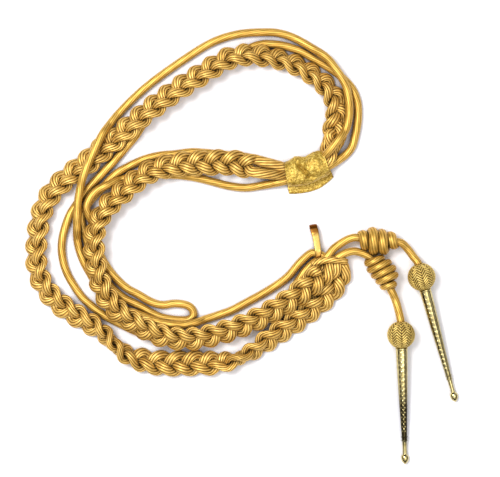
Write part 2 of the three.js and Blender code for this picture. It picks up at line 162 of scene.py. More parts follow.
frontPlaitRows = [
    [7, 59, onCord, 0], [-2.5, 61.5, onCord, 0], [-15.5, 62.5, onCord, 0], [-33.5, 62, onCord, 10],
    [-51.5, 60.5, onCord, 20], [-62, 58, onCord, 30], [-74, 53, onCord, 35], [-83, 46, onCord, 35],
    [-91, 39, onCord, 35], [-100.5, 30, onCord, 35], [-107.5, 19.5, onCord, 43],
    [-111, 7.5, onCord, 43], [-111, -3.5, onCord, 43], [-110, -13, onCord, 43],
    [-108, -23, onCord, 43], [-104, -34, onCord, 35], [-98, -44, onCord, 35], [-89, -52, 8, 35],
    [-79, -58, 8.5, 35], [-69, -63.5, 8.5, 35], [-59, -67.5, 8.5, 35], [-47, -69.5, 8, 35],
    [-34, -69, 7, 35], [-21.5, -66.5, onCord, 35], [-8.5, -62.5, onCord, 35], [3, -58, onCord, 35],
    [14.5, -53, onCord, 35], [25, -47, onCord, 30], [35.5, -40.5, onCord, 25],
    [44, -34, onCord, 15], [53, -26.5, onCord, 5], [59, -20.5, onCord, 0],
]

firstRearCordRows = [
    [*inTab(0.56, 4.1), onTabStrand],
    [*inTab(0.8, 4.1), onTabStrand],
    [*inTab(1, 4.1), onTabStrand],
    [64.4, 70.6, 9.9], [67, 73.5, onPlait], [72, 79.5, onPlait], [77, 86.5, onPlaitEdge],
    [79.5, 95, onPlaitEdge], [80, 104, onPlaitEdge], [78, 118, onCord], [74.5, 125.5, onCord],
    [69.5, 133, onCord], [63, 141, onCord], [50.5, 149.5, 2], [38, 156.5, ground],
    [26.5, 160, ground], [14.5, 160.5, ground], [-3.5, 159, ground], [-21.5, 153.5, ground],
    [-45.5, 139, ground], [-74, 118, ground], [-92, 100.5, ground], [-99, 92, 3], [-104.5, 84, 9.5],
    [-109, 75, onPlait], [-115, 62, onPlait], [-119, 52, onPlait], [-121.5, 43, 9.5],
    [-123, 33.5, 9.5], [-123.8, 23, 9], [-124, 14, 6.5], [-124, 4.5, 1], [-122.5, -3, ground],
    [-120.5, -9, ground], [-117.5, -15.5, ground], [-110.5, -27, ground], [-102.5, -36.8, ground],
    [-94.5, -44, ground], [-86, -48.5, ground], [-78.5, -51, 3], [-70, -54.5, 4.5],
    [-61, -57.5, 5.5], [-52.5, -59, onCord], [-44, -59, onCord], [-35.5, -57.5, 5.5], [-28, -55, 1],
    [-18.5, -52, ground], [-8.5, -48.5, ground], [1, -43.5, ground], [20, -33, ground],
    [33.5, -23.5, ground], [42.3, -13.3, ground], [47, -8.7, ground], [52, -5.2, ground],
    [58, -6.4, 0.5], [63.5, -9.5, 2],
]

secondRearCordRows = [
    [*inTab(0.56, -4.1), tabFloor],
    [*inTab(0.8, -4.1), tabFloor],
    [*inTab(1, -4.1), tabFloor],
    [71.5, 64, 1], [77.5, 68.5, ground], [82, 74, ground], [84.5, 82, ground], [86.3, 91.5, ground],
    [86.8, 102, ground], [86, 109, ground], [83, 117, ground], [77.5, 124, ground],
    [69, 131, ground], [60.5, 136.5, ground], [54.5, 140, ground], [43.3, 146.3, ground],
    [32.5, 150, ground], [23.5, 151.5, ground], [14.5, 151.5, ground], [5, 148.5, ground],
    [-15, 137, ground], [-45, 117, ground], [-71, 96.5, ground], [-80, 83, ground],
    [-88, 73.5, ground], [-95.2, 65.2, ground], [-103, 57, ground], [-110.3, 49.3, ground],
    [-117, 42, ground], [-122, 35.5, ground], [-126, 29.5, ground], [-129, 25, ground],
    [-132.5, 16.5, ground], [-135.5, 4.5, ground], [-135.5, -7, ground], [-132.5, -19, ground],
    [-126.5, -30, ground], [-120, -39, ground], [-114, -44.5, ground], [-108.5, -49, ground],
    [-102.5, -53, ground], [-95, -57, ground], [-84, -62.5, ground], [-70, -68, ground],
    [-56, -71, ground], [-40, -71.5, ground], [-21.5, -68, ground], [-5, -62, ground],
    [14.5, -53.5, ground], [26, -46, ground], [35.5, -36, ground], [41.5, -26.5, ground],
    [47, -18.8, ground], [53.5, -12.5, ground], [59, -9.5, 2],
]

armLoopRows = [
    [*inTab(0.44, 5.3), tabFloor],
    [*inTab(0.2, 5.3), tabFloor],
    [*inTab(0, 5.3), tabFloor],
    [27, 61, tabFloor], [20, 63, 1.5], [12, 65, ground], [2, 67, ground], [-13, 68.5, ground],
    [-28, 70, ground], [-38.5, 70.5, ground], [-50.5, 69, ground], [-62, 68, ground],
    [-74, 65, ground], [-87, 59, ground], [-94, 55, ground], [-99.3, 50.3, ground],
    [-104.5, 44.5, ground], [-111.5, 37.3, ground], [-116, 31.5, ground], [-119.5, 26, ground],
    [-121, 18, ground], [-117.4, 6, ground], [-114.4, -4.5, ground], [-110.6, -13.5, ground],
    [-104.6, -23.3, ground], [-97.1, -32.3, ground], [-89.6, -38.6, ground], [-82.9, -42.2, ground],
    [-74.6, -46.5, ground], [-69.8, -49.5, ground], [-61.1, -53.5, ground], [-54, -55, ground],
    [-46.1, -55.7, ground], [-40, -55.2, ground], [-36.9, -52, ground], [-37.8, -47.5, ground],
    [-41, -44.8, ground], [-46.1, -43.5, ground], [-52.6, -43.3, ground], [-59, -44.3, ground],
    [-64.7, -43.5, ground], [-71.6, -40.5, ground], [-79, -36, ground], [-85.9, -32.4, ground],
    [-92.6, -26.8, ground], [-99.8, -18.6, ground], [-105.2, -10, ground], [-108.4, -2, ground],
    [-110.5, 8, ground], [-112.5, 16.5, ground], [-115.3, 23.5, 4.8], [-117, 29, onCord],
    [-113.5, 37, onCord], [-108.5, 42, onCord], [-102.5, 45, onCord], [-97, 47.5, 4],
    [-91, 50, ground], [-83, 52, ground], [-65, 53.5, ground], [-47, 53, ground],
    [-33.5, 51, ground], [-21.5, 48, ground], [-9.5, 45, ground], [2.5, 43.8, ground],
    [12, 45, ground], [20, 46.3, 1.5], [27, 47.6, tabFloor],
    [*inTab(0, -5.3), tabFloor],
    [*inTab(0.2, -5.3), tabFloor],
    [*inTab(0.44, -5.3), tabFloor],
]

upperTagCordRows = [
    [59.5, -11.5, 6.2], [62.6, -8.6, 6.2], [65.3, -5.8, 6.5], [67.8, -2.4, 6.5], [72.8, 1.4, 6.5],
    [79, 5, 6.8], [84, 6.3, 7.2], [87, 6, 7.2], [101.5, 4.5, 7.2], [116, 3, 7.2], [119, 2.3, 7.2],
    [123.5, -2, 5], [127.5, -7.5, 5.5], [131, -12.2, 7.4], [132.3, -16, 7.5],
]

lowerTagCordRows = [
    [68.5, -10.5, 6.2], [71.5, -8.4, 6.2], [74.8, -6.5, 6.5], [78.5, -4.8, 6.5], [83.5, -3.9, 6.5],
    [88, -4.8, 6.5], [92.2, -6.5, 6.8], [95.2, -8.4, 7], [97.1, -10.4, 7], [103.6, -20.8, 7],
    [110.1, -31.2, 7], [111.9, -34.4, 7], [114.4, -40, 5], [116.6, -47.5, 5.5], [118.3, -55.6, 7.4],
    [118.6, -59.5, 7.5],
]

bindingRows = [
    [51.5, -15.5, 7.5], [55.5, -12.6, 8], [61, -10.6, 8.2], [69, -10.4, 8], [75, -11.2, 7],
    [79, -12.6, 5.8],
]

# Where the strands run between the tab and each plait, and past its other end. Columns: x, y, height
inTabLow = tabFloor + 2.5
inTabHigh = 8.2
rearStrandStarts = [
    [[*inTab(0.56, -1.1), inTabHigh], [*inTab(1, -1.1), inTabHigh], [67.4, 67, 7.8], [66.6, 73.5, 6.4]],
    [[*inTab(0.56, 5.1), inTabLow], [*inTab(1, 5.1), inTabLow], [62, 74, 2.6]],
    [[*inTab(0.56, 1.1), inTabLow], [*inTab(1, 1.1), inTabLow], [69.5, 73, 2.6]],
]
frontStrandStarts = [
    [[*inTab(0.44, -0.6), inTabHigh], [*inTab(0, -0.6), inTabHigh], [20, 53.5, 14]],
    [[*inTab(0.44, 0), inTabLow], [*inTab(0, 0), inTabLow], [20, 55, 6]],
    [[*inTab(0.44, 4.1), inTabHigh], [*inTab(0, 4.1), inTabHigh], [17, 62.5, 11]],
]
rearStrandEnds = [
    [[71, -14.7, 8.5], [71.5, -10.5, 7.5]],
    [[69, -17, 3], [69.5, -12.5, 3]],
    [[76.5, -15.8, 7], [75, -11.5, 6.5]],
]
frontStrandEnds = [
    [[55.2, -17.7, 12.4], [56.5, -13.2, 9]],
    [[60, -17, 8.3], [61.5, -12.5, 6]],
    [[65, -15.6, 10], [65.5, -11.5, 8]],
]


# Lines through chosen places


def smoothLine(rows, lengthColumns, perSpan=16):
    # a centripetal curve through the rows; the first columns set its pace
    rows = np.asarray(rows, float)
    rows = np.vstack([2 * rows[0] - rows[1], rows, 2 * rows[-1] - rows[-2]])
    pace = np.linalg.norm(np.diff(rows[:, :lengthColumns], axis=0), axis=1) ** 0.5
    t = np.linspace(0, 1, perSpan, endpoint=False)[:, None]
    made = []
    for i in range(1, len(rows) - 2):
        before, here, ahead, after = rows[i - 1 : i + 3]
        d0, d1, d2 = pace[i - 1 : i + 2]
        leave = ((here - before) / d0 - (ahead - before) / (d0 + d1) + (ahead - here) / d1) * d1
        reach = ((ahead - here) / d1 - (after - here) / (d1 + d2) + (after - ahead) / d2) * d1
        cubic = 2 * here - 2 * ahead + leave + reach
        square = -3 * here + 3 * ahead - 2 * leave - reach
        made.append(cubic * t**3 + square * t**2 + leave * t + here)
    return np.vstack([*made, rows[-2:-1]])


def routeLine(rows, thickness, perSpan=16):
    # smooth in plan, with its height easing from each row's lift to the next one's
    rows = np.asarray(rows, float)
    plan = smoothLine(rows[:, :2], 2, perSpan)
    place = np.arange(len(plan)) / perSpan
    row = np.minimum(place.astype(int), len(rows) - 2)
    t = place - row
    ease = (t * t * (3 - 2 * t))[:, None]
    rest = rows[row, 2:] * (1 - ease) + rows[row + 1, 2:] * ease
    rest[:, 0] += thickness / 2
    return np.hstack([plan, rest])


def lengthsAlong(line):
    return np.r_[0, np.cumsum(np.linalg.norm(np.diff(line[:, :3], axis=0), axis=1))]


def linePlaces(line, at):
    # the line's rows at chosen lengths along it
    gone = lengthsAlong(line)
    return np.column_stack([np.interp(at, gone, line[:, i]) for i in range(line.shape[1])])


def unit(vectors):
    return vectors / np.linalg.norm(vectors, axis=-1, keepdims=True)


def slowNoise(count, spacing, seed):
    # smooth seeded values from -1 to 1, one for each ring
    rng = np.random.default_rng(seed)
    knots = max(4, int(count / spacing) + 3)
    values = rng.uniform(-1, 1, knots)
    return np.interp(np.linspace(0, knots - 1, count), np.arange(knots), values)


def between(rows, place):
    # the second column's value at a place in the first column
    rows = np.asarray(rows, float)
    return np.interp(place, rows[:, 0], rows[:, 1])


# Meshes


def meshObject(name, places, faces, material, attributes=None, uv=None):
    mesh = bpy.data.meshes.new(name)
    mesh.from_pydata(places.tolist(), [], faces)
    for key, values in (attributes or {}).items():
        mesh.attributes.new(key, "FLOAT", "POINT").data.foreach_set("value", values.astype(np.float32))
    if uv is not None:
        mesh.uv_layers.new(name="alongWires").data.foreach_set("uv", uv.astype(np.float32).ravel())
    mesh.polygons.foreach_set("use_smooth", [True] * len(mesh.polygons))
    mesh.materials.append(material)
    mesh.update()
    piece = bpy.data.objects.new(name, mesh)
    scene.collection.objects.link(piece)
    return piece


def ringFaces(rings, sides, first=0, closed=True):
    # quads between rings of points; closed rings also join their last side to their first
    faces = []
    for i in range(rings - 1):
        here = first + i * sides
        for j in range(sides if closed else sides - 1):
            k = (j + 1) % sides
            faces.append((here + j, here + sides + j, here + sides + k, here + k))
    return faces


def tubeFaces(rings, sides):
    # rings of quads, and a fan at each end round a middle point; the two points come after the rings
    first, last = rings * sides, (rings - 1) * sides
    faces = ringFaces(rings, sides)
    faces += [(first, j, (j + 1) % sides) for j in range(sides)]
    faces += [(first + 1, last + (j + 1) % sides, last + j) for j in range(sides)]
    return faces


def ringUv(at, sides):
    # across: share of the way round; along: metres
    j = np.arange(sides)
    corners = np.empty((len(at) - 1, sides, 4, 2))
    for corner, (along, around) in enumerate([(0, 0), (1, 0), (1, 1), (0, 1)]):
        corners[:, :, corner, 0] = (j + around) / sides
        corners[:, :, corner, 1] = at[along : len(at) - 1 + along, None] * mm
    return corners.reshape(-1, 2)


def dress(piece, slot, *nodes):
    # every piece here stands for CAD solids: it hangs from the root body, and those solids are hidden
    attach(piece, "root")
    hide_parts(*nodes)
    return piece


def sweepCord(name, line, ups, look, material, seed):
    # plied cord along a fine line: its plies are ridges that wind slowly round it
    half = look["width"] / 2
    gone = lengthsAlong(line)
    whole = gone[-1]
    capPlaces = half * np.array([0, 0.05, 0.18, 0.4, 0.7])
    middle = np.linspace(half, whole - half, max(3, round(whole / look["step"])))
    at = np.r_[capPlaces, middle, (whole - capPlaces)[::-1]]
    line, ups = linePlaces(line, at), np.column_stack([np.interp(at, gone, ups[:, i]) for i in range(3)])
    rings = len(at)
    sides = look["plies"] * look["sidesPerPly"]
    way = unit(np.gradient(line, axis=0))
    side = unit(np.cross(way, ups))
    normal = np.cross(side, way)
    corner = 2 * math.pi * np.arange(sides) / sides
    groove = 1 - np.abs(np.sin(look["plies"] * corner / 2))
    angle = corner[None, :] + 2 * math.pi * at[:, None] / look["lay"]
    swell = 1 + look["wobble"] * slowNoise(rings, 9, seed)
    fromEnd = np.minimum(1, np.minimum(at, whole - at) / half)
    rounded = np.maximum(0.12, np.sqrt(1 - (1 - fromEnd) ** 2))
    size = (swell * rounded)[:, None] * np.ones(sides)
    reachSide = size * (half - look["plyDepth"] * groove)
    reachNormal = size * (look["height"] / 2 - look["plyDepth"] * groove)
    places = (
        line[:, None, :]
        + side[:, None, :] * (reachSide * np.cos(angle))[:, :, None]
        + normal[:, None, :] * (reachNormal * np.sin(angle))[:, :, None]
    ).reshape(-1, 3)
    places = np.vstack([places, line[0], line[-1]])
    places[:, 2] = np.maximum(places[:, 2], lowest)
    faces = tubeFaces(rings, sides)
    uv = np.vstack([ringUv(at, sides), np.zeros((sides * 6, 2))])
    depth = np.r_[np.tile(groove, rings), 0, 0]
    piece = meshObject(name, toFrame(places), faces, material, {"groove": depth}, uv)
    return piece, line


# Materials


def addNode(tree, kind, settings=None, inputs=None, links=None, stops=None):
    # one node with its settings, socket values, incoming links and, for a ramp, its colour stops
    node = tree.nodes.new(kind)
    for key, value in (settings or {}).items():
        setattr(node, key, value)
    for key, value in (inputs or {}).items():
        node.inputs[key].default_value = value
    for key, socket in (links or {}).items():
        tree.links.new(socket, node.inputs[key])
    for i, (place, code) in enumerate(stops or []):
        if i >= len(node.color_ramp.elements):
            node.color_ramp.elements.new(place)
        node.color_ramp.elements[i].position = place
        node.color_ramp.elements[i].color = hexColour(code)
    return node


def newMaterial(name):
    material = bpy.data.materials.new(name)
    material.use_nodes = True
    material.node_tree.nodes.clear()
    return material, material.node_tree


def closeMaterial(tree, shader):
    output = addNode(tree, "ShaderNodeOutputMaterial")
    tree.links.new(shader.outputs["BSDF"], output.inputs["Surface"])


def paintCreviceShade(tree, colour, shadow, reach, clean):
    # painted shade: the colour darkens toward a shadow colour where close parts crowd it, where the cords
    # press together, where the lace folds and on the table between cords
    openness = addNode(tree, "ShaderNodeAmbientOcclusion", {"samples": 6}, {"Distance": reach * mm})
    paintedShade = addNode(
        tree,
        "ShaderNodeMapRange",
        inputs={"From Min": 0.15, "From Max": clean, "To Min": 0.9, "To Max": 0.0},
        links={"Value": openness.outputs["AO"]},
    )
    return addNode(
        tree,
        "ShaderNodeMix",
        {"data_type": "RGBA"},
        {7: hexColour(shadow)},
        {0: paintedShade.outputs["Result"], 6: colour},
    )


# Gilt wire cord: fine gilded copper wire wound and plied over a cotton core.
# The wire is metal but its many small rounds scatter light, so it glows like satin; the grooves between its
# plies are darkened toward the seam colour as painted shade.
giltWireLook = {
    "bright": "#F2C866",
    "middle": "#C8983A",
    # seam: painted shade for the grooves between plies
    "seam": "#5E3408",
    "shadow": "#2C1204",
    "rampPlaces": (0.3, 0.58, 0.9),  # how shaded each colour is, from bright to seam
    "plyShade": 0.4,
    "wireShade": 0.45,
    "patchShade": 0.3,
    # reach and openness of the painted shade in crevices
    "shadeReach": 3.6,  # mm
    "shadeClean": 0.86,
    "metal": 0.6,
    "roughness": 0.46,
    "wiresAround": 46,  # wire is about 0.4 mm here, coarser than the real 0.15 mm so that it shows
    "streakLength": 9,  # mm
    "tarnishPatch": 14,  # mm
}

plaitWireLook = {
    "bright": "#FFDA80",
    "middle": "#DAA848",
    # seam: painted shade for the grooves between plies
    "seam": "#542A04",
    "shadow": "#260C02",
    "rampPlaces": (0.3, 0.58, 0.9),
    "plyShade": 0.5,
    "wireShade": 0.5,
    "patchShade": 0.3,
    # reach and openness of the painted shade in crevices
    "shadeReach": 3.6,
    "shadeClean": 0.86,
    "metal": 0.6,
    "roughness": 0.46,
    "wiresAround": 34,
    "streakLength": 6,
    "tarnishPatch": 9,
}


def giltWire(name, look):
    material, tree = newMaterial(name)
    uv = addNode(tree, "ShaderNodeUVMap", {"uv_map": "alongWires"})
    stretch = addNode(
        tree,
        "ShaderNodeVectorMath",
        {"operation": "MULTIPLY"},
        {1: (look["wiresAround"], 1 / (look["streakLength"] * mm), 1)},
        {0: uv.outputs["UV"]},
    )
    wires = addNode(
        tree, "ShaderNodeTexNoise", inputs={"Scale": 1, "Detail": 1}, links={"Vector": stretch.outputs[0]}
    )
    place = addNode(tree, "ShaderNodeTexCoord")
    patches = addNode(
        tree,
        "ShaderNodeTexNoise",
        inputs={"Scale": 1 / (look["tarnishPatch"] * mm), "Detail": 2},
        links={"Vector": place.outputs["Object"]},
    )
    groove = addNode(tree, "ShaderNodeAttribute", {"attribute_name": "groove"})
    shade = addNode(
        tree, "ShaderNodeMath", {"operation": "MULTIPLY"}, {1: look["wireShade"]}, {0: wires.outputs["Fac"]}
    )
    # painted shade: the deeper a point lies in a ply groove, the nearer its colour goes to the seam colour
    paintedGrooveShade = addNode(
        tree,
        "ShaderNodeMath",
        {"operation": "MULTIPLY_ADD"},
        {1: look["plyShade"]},
        {0: groove.outputs["Fac"], 2: shade.outputs[0]},
    )
    mottled = addNode(
        tree,
        "ShaderNodeMath",
        {"operation": "MULTIPLY_ADD"},
        {1: look["patchShade"]},
        {0: patches.outputs["Fac"], 2: paintedGrooveShade.outputs[0]},
    )
    colour = addNode(
        tree,
        "ShaderNodeValToRGB",
        links={"Fac": mottled.outputs[0]},
        stops=zip(look["rampPlaces"], (look["bright"], look["middle"], look["seam"])),
    )
    # painted shade in crevices and where parts touch
    shadedColour = paintCreviceShade(
        tree, colour.outputs["Color"], look["shadow"], look["shadeReach"], look["shadeClean"]
    )
    bump = addNode(
        tree,
        "ShaderNodeBump",
        inputs={"Strength": 0.5, "Distance": 0.12 * mm},
        links={"Height": wires.outputs["Fac"]},
    )
    shader = addNode(
        tree,
        "ShaderNodeBsdfPrincipled",
        inputs={"Metallic": look["metal"], "Roughness": look["roughness"]},
        links={"Base Color": shadedColour.outputs[2], "Normal": bump.outputs["Normal"]},
    )
    closeMaterial(tree, shader)
    return material


# Gold lace: flat metal strip woven on silk. It sparkles in grains, partly from their bumps and partly from
# painted glints, and looks a little green beside the cord.
laceLook = {
    "bright": "#EACC68",
    "middle": "#C4A03A",
    "dark": "#94701E",
    "shadow": "#4A3006",
    "metal": 0.5,
    "roughness": 0.42,
    "grain": 0.75,  # mm between glints, twice the real thread so that it shows
    "patch": 5,
    "rampPlaces": (0.22, 0.55, 0.85),
    "glintShade": 0.6,
    "patchShade": 0.5,
    # reach and openness of the painted shade in the lace's folds
    "shadeReach": 2.5,
    "shadeClean": 0.75,
}


def goldLace(look):
    material, tree = newMaterial("goldLace")
    place = addNode(tree, "ShaderNodeTexCoord")
    cells = addNode(
        tree,
        "ShaderNodeTexVoronoi",
        inputs={"Scale": 1 / (look["grain"] * mm)},
        links={"Vector": place.outputs["Object"]},
    )
    glint = addNode(tree, "ShaderNodeSeparateColor", links={"Color": cells.outputs["Color"]})
    patches = addNode(
        tree,
        "ShaderNodeTexNoise",
        inputs={"Scale": 1 / (look["patch"] * mm), "Detail": 3},
        links={"Vector": place.outputs["Object"]},
    )
    # painted glints: each grain gets its own random brightness
    paintedGlint = addNode(
        tree, "ShaderNodeMath", {"operation": "MULTIPLY"}, {1: look["glintShade"]}, {0: glint.outputs["Red"]}
    )
    shade = addNode(
        tree,
        "ShaderNodeMath",
        {"operation": "MULTIPLY_ADD"},
        {1: look["patchShade"]},
        {0: patches.outputs["Fac"], 2: paintedGlint.outputs[0]},
    )
    colour = addNode(
        tree,
        "ShaderNodeValToRGB",
        links={"Fac": shade.outputs[0]},
        stops=zip(look["rampPlaces"], (look["bright"], look["middle"], look["dark"])),
    )
    # painted shade in the lace's folds and where it meets the cords
    shadedColour = paintCreviceShade(
        tree, colour.outputs["Color"], look["shadow"], look["shadeReach"], look["shadeClean"]
    )
    bump = addNode(
        tree,
        "ShaderNodeBump",
        {"invert": True},
        {"Strength": 0.6, "Distance": 0.3 * mm},
        {"Height": cells.outputs["Distance"]},
    )
    shader = addNode(
        tree,
        "ShaderNodeBsdfPrincipled",
        inputs={"Metallic": look["metal"], "Roughness": look["roughness"]},
        links={"Base Color": shadedColour.outputs[2], "Normal": bump.outputs["Normal"]},
    )
    closeMaterial(tree, shader)
    return material


# Knitted wire over a wooden ball: duller than the cord, its grooves between the stitches and ribs darkened
# with painted shade
knitLook = {
    "bright": "#F2D880",
    "middle": "#CEAC52",
    # dark: painted shade for the grooves between stitches
    "dark": "#4A3008",
    "metal": 0.55,
    "roughness": 0.45,
    "patch": 3,
    "rampPlaces": (0.25, 0.55, 0.95),
    "patchShade": 0.6,
    "stitchShade": 0.85,
}


def knittedWire(look):
    material, tree = newMaterial("knittedWire")
    groove = addNode(tree, "ShaderNodeAttribute", {"attribute_name": "groove"})
    place = addNode(tree, "ShaderNodeTexCoord")
    patches = addNode(
        tree,
        "ShaderNodeTexNoise",
        inputs={"Scale": 1 / (look["patch"] * mm), "Detail": 3},
        links={"Vector": place.outputs["Object"]},
    )
    mottled = addNode(
        tree,
        "ShaderNodeMath",
        {"operation": "MULTIPLY"},
        {1: look["patchShade"]},
        {0: patches.outputs["Fac"]},
    )
    # painted shade: the deeper a point lies in a stitch groove, the darker its colour
    shade = addNode(
        tree,
        "ShaderNodeMath",
        {"operation": "MULTIPLY_ADD"},
        {1: look["stitchShade"]},
        {0: groove.outputs["Fac"], 2: mottled.outputs[0]},
    )
    colour = addNode(
        tree,
        "ShaderNodeValToRGB",
        links={"Fac": shade.outputs[0]},
        stops=zip(look["rampPlaces"], (look["bright"], look["middle"], look["dark"])),
    )
    bump = addNode(
        tree,
        "ShaderNodeBump",
        inputs={"Strength": 0.3, "Distance": 0.2 * mm},
        links={"Height": patches.outputs["Fac"]},
    )
    shader = addNode(
        tree,
        "ShaderNodeBsdfPrincipled",
        inputs={"Metallic": look["metal"], "Roughness": look["roughness"]},
        links={"Base Color": colour.outputs["Color"], "Normal": bump.outputs["Normal"]},
    )
    closeMaterial(tree, shader)
    return material


# Brass, stamped and polished: a clear pale mirror with faint rubbing marks. A per-point attribute mixes in
# painted dark reflection:
# brown-black along stretches of the tags, kept off their raised beads and leaves, and brown at the hook's
# ends
tagBrassLook = {"bright": "#E0D094", "dull": "#A89250", "paintedDarkReflection": "#1E1406", "roughness": 0.12, "rub": 2.5}
hookBrassLook = {"bright": "#E4C46C", "dull": "#B08038", "paintedDarkReflection": "#8A4E12", "roughness": 0.24, "rub": 4}


def polishedBrass(name, look):
    material, tree = newMaterial(name)
    place = addNode(tree, "ShaderNodeTexCoord")
    rubs = addNode(
        tree,
        "ShaderNodeTexNoise",
        inputs={"Scale": 1 / (look["rub"] * mm), "Detail": 4},
        links={"Vector": place.outputs["Object"]},
    )
    colour = addNode(
        tree,
        "ShaderNodeValToRGB",
        links={"Fac": rubs.outputs["Fac"]},
        stops=[(0.4, look["bright"]), (0.8, look["dull"])],
    )
    # painted dark reflection, mixed in where the attribute says
    paintedDarkReflection = addNode(tree, "ShaderNodeAttribute", {"attribute_name": "paintedDarkReflection"})
    withDarkReflection = addNode(
        tree,
        "ShaderNodeMix",
        {"data_type": "RGBA"},
        {7: hexColour(look["paintedDarkReflection"])},
        {0: paintedDarkReflection.outputs["Fac"], 6: colour.outputs["Color"]},
    )
    gloss = addNode(
        tree,
        "ShaderNodeMapRange",
        inputs={
            "From Min": 0.3,
            "From Max": 0.7,
            "To Min": look["roughness"] * 0.7,
            "To Max": look["roughness"] * 1.6,
        },
        links={"Value": rubs.outputs["Fac"]},
    )
    bump = addNode(
        tree,
        "ShaderNodeBump",
        inputs={"Strength": 0.15, "Distance": 0.1 * mm},
        links={"Height": rubs.outputs["Fac"]},
    )
    shader = addNode(
        tree,
        "ShaderNodeBsdfPrincipled",
        inputs={"Metallic": 1.0},
        links={
            "Base Color": withDarkReflection.outputs[2],
            "Roughness": gloss.outputs["Result"],
            "Normal": bump.outputs["Normal"],
        },
    )
    closeMaterial(tree, shader)
    return material


cordMaterial = giltWire("giltWireCord", giltWireLook)
plaitMaterial = giltWire("giltWirePlait", plaitWireLook)
laceMaterial = goldLace(laceLook)
knitMaterial = knittedWire(knitLook)
tagMaterial = polishedBrass("polishedBrass", tagBrassLook)
hookMaterial = polishedBrass("lacqueredBrass", hookBrassLook)
print("stage: materials are made")


# Cords and plait strands


def plainCord(name, rows, seed):
    line = routeLine(rows, cordLook["height"])[:, :3]
    ups = np.tile(up, (len(line), 1))
    piece, path = sweepCord(f"{name}_wire", line, ups, cordLook, cordMaterial, seed)
    dress(piece, "cord", name)


def settled(roll, look):
    # a rolled plait settles: the share of its height that is left, and how far its middle is raised
    edge = look["swing"] * np.abs(np.sin(roll))
    crossing = edge / 2 + look["rise"] * np.abs(np.cos(roll))
    share = np.minimum(1, look["rise"] / crossing)
    return share, np.maximum(0, share * edge - look["rise"])


def plaitStrand(side, rows, turns, number, before, after):
    look = plaitLook
    samples = turns * look["pointsPerTurn"]
    middle = routeLine(rows, look["thickness"])
    middle = linePlaces(middle, np.linspace(0, lengthsAlong(middle)[-1], samples + 1))
    places, roll = middle[:, :3], np.radians(middle[:, 3] * look["rollShare"])
    flat = np.gradient(places, axis=0) * [1, 1, 0]
    left = unit(np.cross(up, flat))
    turned = np.arange(samples + 1) / look["pointsPerTurn"]
    phase = 2 * math.pi * (look["startPhase"] - turned + number / 3)
    across = look["swing"] * np.sin(phase)
    above = look["rise"] / math.sin(math.pi / 3) * np.sin(2 * phase)
    share, raised = settled(roll, look)
    sideways = across * np.cos(roll) - above * np.sin(roll)
    lift = share * (across * np.sin(roll) + above * np.cos(roll)) + raised
    points = places + left * sideways[:, None] + up * lift[:, None]
    points[:, 2] = np.maximum(points[:, 2], look["height"] / 2 + clearance)
    ups = up * np.cos(roll)[:, None] - left * np.sin(roll)[:, None]
    strandRows = [[*place, 0, 0, 1] for place in before]
    strandRows += np.hstack([points, ups]).tolist()
    strandRows += [[*place, 0, 0, 1] for place in after]
    line = smoothLine(strandRows, 3, 8)
    name = f"{side}_plait_strand_{number + 1}"
    piece, path = sweepCord(f"{name}_wire", line[:, :3], line[:, 3:], look, plaitMaterial, number)
    dress(piece, "plait", name)


plainCord("first_rear_cord", firstRearCordRows, 1)
plainCord("second_rear_cord", secondRearCordRows, 2)
plainCord("arm_loop_cord", armLoopRows, 3)
plainCord("upper_tag_cord", upperTagCordRows, 4)
plainCord("lower_tag_cord", lowerTagCordRows, 5)
for number in range(3):
    plaitStrand("rear", rearPlaitRows, 16, number, rearStrandStarts[number], rearStrandEnds[number])
    plaitStrand("front", frontPlaitRows, 10, number, frontStrandStarts[number], frontStrandEnds[number])
print("stage: cords and plaits are laid")


# Binding: a short length of cord drawn round the plaits' front ends

bindingLook = {**cordLook, "width": 5.8, "height": 5.2, "plies": 8, "plyDepth": 0.35, "lay": 45, "step": 1.0}


def makeBinding():
    line = routeLine(bindingRows, bindingLook["height"])[:, :3]
    ups = np.tile(up, (len(line), 1))
    piece, _ = sweepCord("front_binding_wire", line, ups, bindingLook, plaitMaterial, 6)
    dress(piece, "cord", "front_binding")


makeBinding()


# Wound knots: one cord wound in turns side by side round each tag cord

knotLook = {**cordLook, "plies": 10, "plyDepth": 0.26, "lay": 80, "step": 1.0}
pointsPerTurn = 72
tuckTurns = 0.15  # turns over which a wound cord's end is tucked in
tuckedRadius = 0.4  # share of its radius that is left there
upperKnotLook = {
    "start": (87.5, 6, 10.2),
    "end": (115.4, 3.1, 10.2),
    "span": (0.1, 28.1),  # mm along, from the first turn's start to the last one's end
    "turns": 4,
    "hand": 1,
    "lean": 0.04,  # mm further along for each mm to the left
    "width": 7.5,
    "height": 6.2,
    # turns gone, outer radius of the turns, shift of their middle to the left
    "outline": [
        (0, 5.6, -0.3),
        (0.5, 7.7, -0.6),
        (1.5, 11, -0.9),
        (2.5, 10.3, -2),
        (3.5, 6.9, 0.3),
        (4, 5.6, 0.3),
    ],
}
lowerKnotLook = {
    "start": (97.1, -10.4, 10),
    "end": (110.1, -31.2, 10),
    "span": (-1.2, 25.4),
    "turns": 5,
    "hand": -1,
    "lean": 0.0,
    "width": 5.4,
    "height": 5.4,
    "outline": [
        (0, 5.6, 0),
        (0.5, 8.4, 0.1),
        (1.5, 9.9, 1.9),
        (2.5, 10.1, 2.6),
        (3.5, 9.6, 2.7),
        (4.5, 7.0, 0.8),
        (5, 5.4, 0),
    ],
}


